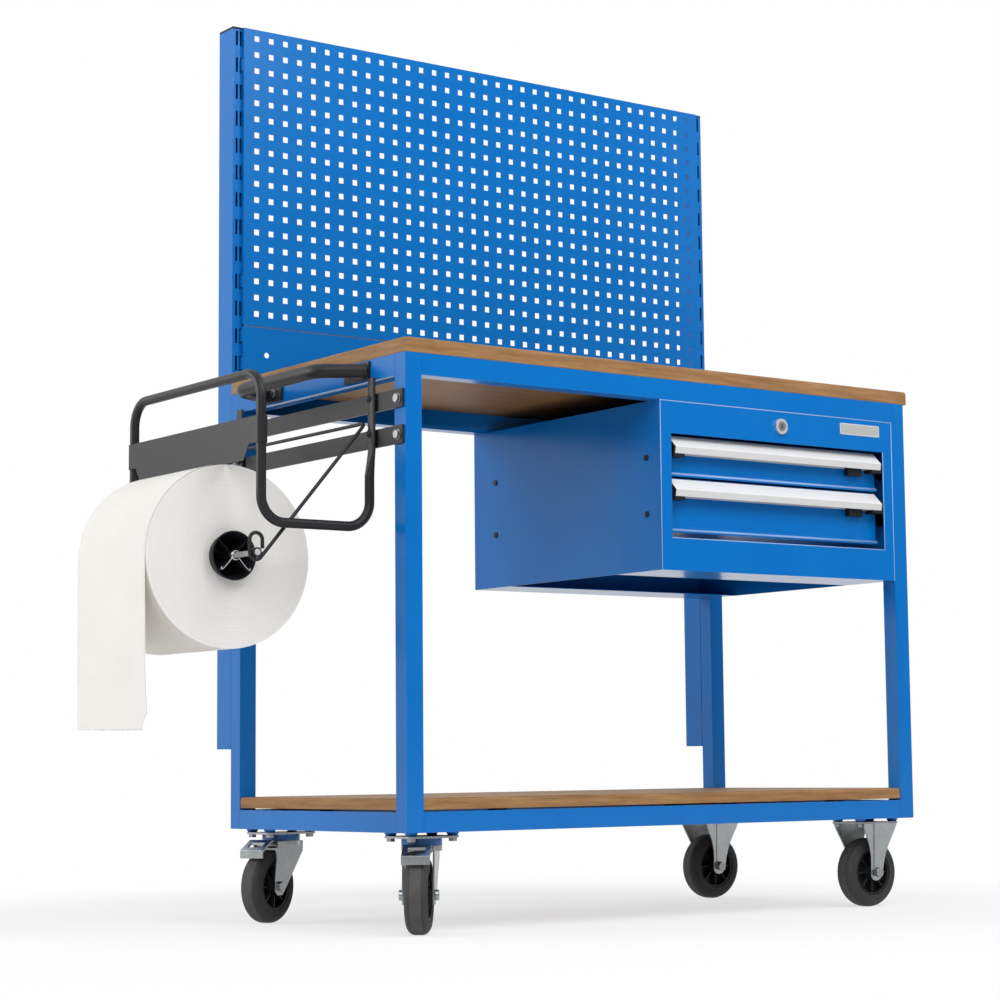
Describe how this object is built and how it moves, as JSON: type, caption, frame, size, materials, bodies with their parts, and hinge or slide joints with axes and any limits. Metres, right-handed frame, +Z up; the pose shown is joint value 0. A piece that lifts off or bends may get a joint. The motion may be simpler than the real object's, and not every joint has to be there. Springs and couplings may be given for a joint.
{
  "type": "mobile workbench",
  "caption": "Mobile workbench on castors with a wooden top and shelf, drawer cabinet, perforated tool panel, push handle and a paper roll holder on one end.",
  "frame": {"origin": "on the floor under the centre of the whole outline", "axes": "+Z up, +X from the paper roll towards the drawer end, +Y from the front towards the perforated panel"},
  "size_m": [1.4912, 0.6516, 1.611],
  "materials": {
    "blue_paint": "powder coat, fine orange peel",
    "wood": "clear lacquer",
    "black_plastic": "matte",
    "black_paint": "satin powder coat",
    "aluminium": "satin anodised",
    "zinc": "zinc plated",
    "drawer_sheet": "powder coat",
    "bright_steel": "bright plated",
    "tyre_rubber": "dull",
    "rim_plastic": "moulded",
    "paper": "soft uncoated paper"
  },
  "bodies": {
    "bench": {"legs": "blue_paint", "top_rails": "blue_paint", "bottom_rails": "blue_paint", "corner_gussets": "blue_paint", "upright_left": "blue_paint", "upright_right": "blue_paint", "perforated_panel": "blue_paint", "lower_panel": "blue_paint", "cabinet_casing": "blue_paint", "castor_spacers": "blue_paint", "worktop": "wood", "shelf": "wood", "shelf_pads": "black_plastic", "upright_caps": "black_plastic", "upright_spacers": "black_plastic", "cabinet_plugs": "black_plastic", "holder_bars": "black_paint", "holder_hoop": "black_paint", "wire_bracket": "black_paint", "push_handle": "black_paint", "label_plate": "aluminium", "frame_bolts": "zinc", "castor_bolts": "zinc", "swivel_plates": "zinc", "fixed_forks": "zinc", "fixed_axles": "zinc", "cabinet_runners": "zinc", "lock_collar": "bright_steel", "roll_axle": "bright_steel", "paper_tail": "paper"},
    "upper_drawer": {"upper_drawer_front": "blue_paint", "upper_drawer_box": "drawer_sheet", "upper_handle": "aluminium", "upper_handle_caps": "black_plastic", "upper_drawer_rails": "zinc"},
    "upper_latch_slider": {"upper_latch": "black_plastic"},
    "lower_drawer": {"lower_drawer_front": "blue_paint", "lower_drawer_box": "drawer_sheet", "lower_handle": "aluminium", "lower_handle_caps": "black_plastic", "lower_drawer_rails": "zinc"},
    "lower_latch_slider": {"lower_latch": "black_plastic"},
    "lock": {"lock_barrel": "bright_steel"},
    "tear_bar": {"tear_plate": "black_paint"},
    "roll": {"paper_roll": "paper", "roll_cones": "black_plastic"},
    "swivel_front_left": {"fork_front_left": "zinc", "axle_front_left": "zinc"},
    "pedal_front_left": {"brake_pedal_front_left": "zinc"},
    "swivel_rear_left": {"fork_rear_left": "zinc", "axle_rear_left": "zinc"},
    "pedal_rear_left": {"brake_pedal_rear_left": "zinc"},
    "wheel_front_left": {"tyre_front_left": "tyre_rubber", "rim_front_left": "rim_plastic"},
    "wheel_rear_left": {"tyre_rear_left": "tyre_rubber", "rim_rear_left": "rim_plastic"},
    "wheel_front_right": {"tyre_front_right": "tyre_rubber", "rim_front_right": "rim_plastic"},
    "wheel_rear_right": {"tyre_rear_right": "tyre_rubber", "rim_rear_right": "rim_plastic"}
  },
  "joints": [
    {"name": "upper_drawer_slide", "type": "slide", "parent": "bench", "child": "upper_drawer", "axis": [0, -1, 0], "range_m": [0, 0.4]},
    {"name": "upper_latch_slide", "type": "slide", "parent": "upper_drawer", "child": "upper_latch_slider", "axis": [1, 0, 0], "range_m": [0, 0.007], "stiffness_N_per_m": 400},
    {"name": "lower_drawer_slide", "type": "slide", "parent": "bench", "child": "lower_drawer", "axis": [0, -1, 0], "range_m": [0, 0.4]},
    {"name": "lower_latch_slide", "type": "slide", "parent": "lower_drawer", "child": "lower_latch_slider", "axis": [1, 0, 0], "range_m": [0, 0.007], "stiffness_N_per_m": 400},
    {"name": "lock_turn", "type": "hinge", "parent": "bench", "child": "lock", "pos_m": [0.4261, -0.29937, 0.8665], "axis": [0, 1, 0], "range_deg": [0, 90]},
    {"name": "tear_bar_lift", "type": "slide", "parent": "bench", "child": "tear_bar", "axis": [0, 0, 1], "range_m": [0, 0.02]},
    {"name": "roll_spin", "type": "hinge", "parent": "bench", "child": "roll", "pos_m": [-0.5964, 0.00463, 0.604], "axis": [0, 1, 0], "continuous": true},
    {"name": "swivel_front_left_turn", "type": "hinge", "parent": "bench", "child": "swivel_front_left", "pos_m": [-0.3129, -0.23987, 0.131], "axis": [0, 0, 1], "continuous": true},
    {"name": "wheel_front_left_spin", "type": "hinge", "parent": "swivel_front_left", "child": "wheel_front_left", "pos_m": [-0.3399, -0.27204, 0.0625], "axis": [-0.766, 0.6428, 0], "continuous": true},
    {"name": "pedal_front_left_press", "type": "hinge", "parent": "swivel_front_left", "child": "pedal_front_left", "pos_m": [-0.33861, -0.27051, 0.1335], "axis": [0.766, -0.6428, 0], "range_deg": [0, 5]},
    {"name": "swivel_rear_left_turn", "type": "hinge", "parent": "bench", "child": "swivel_rear_left", "pos_m": [-0.3129, 0.20413, 0.131], "axis": [0, 0, 1], "continuous": true},
    {"name": "wheel_rear_left_spin", "type": "hinge", "parent": "swivel_rear_left", "child": "wheel_rear_left", "pos_m": [-0.35065, 0.18572, 0.0625], "axis": [-0.4384, 0.8988, 0], "continuous": true},
    {"name": "pedal_rear_left_press", "type": "hinge", "parent": "swivel_rear_left", "child": "pedal_rear_left", "pos_m": [-0.34885, 0.1866, 0.1335], "axis": [0.4384, -0.8988, 0], "range_deg": [0, 5]},
    {"name": "wheel_front_right_spin", "type": "hinge", "parent": "bench", "child": "wheel_front_right", "pos_m": [0.6701, -0.23987, 0.0625], "axis": [0, 1, 0], "continuous": true},
    {"name": "wheel_rear_right_spin", "type": "hinge", "parent": "bench", "child": "wheel_rear_right", "pos_m": [0.6701, 0.20413, 0.0625], "axis": [0, 1, 0], "continuous": true}
  ]
}
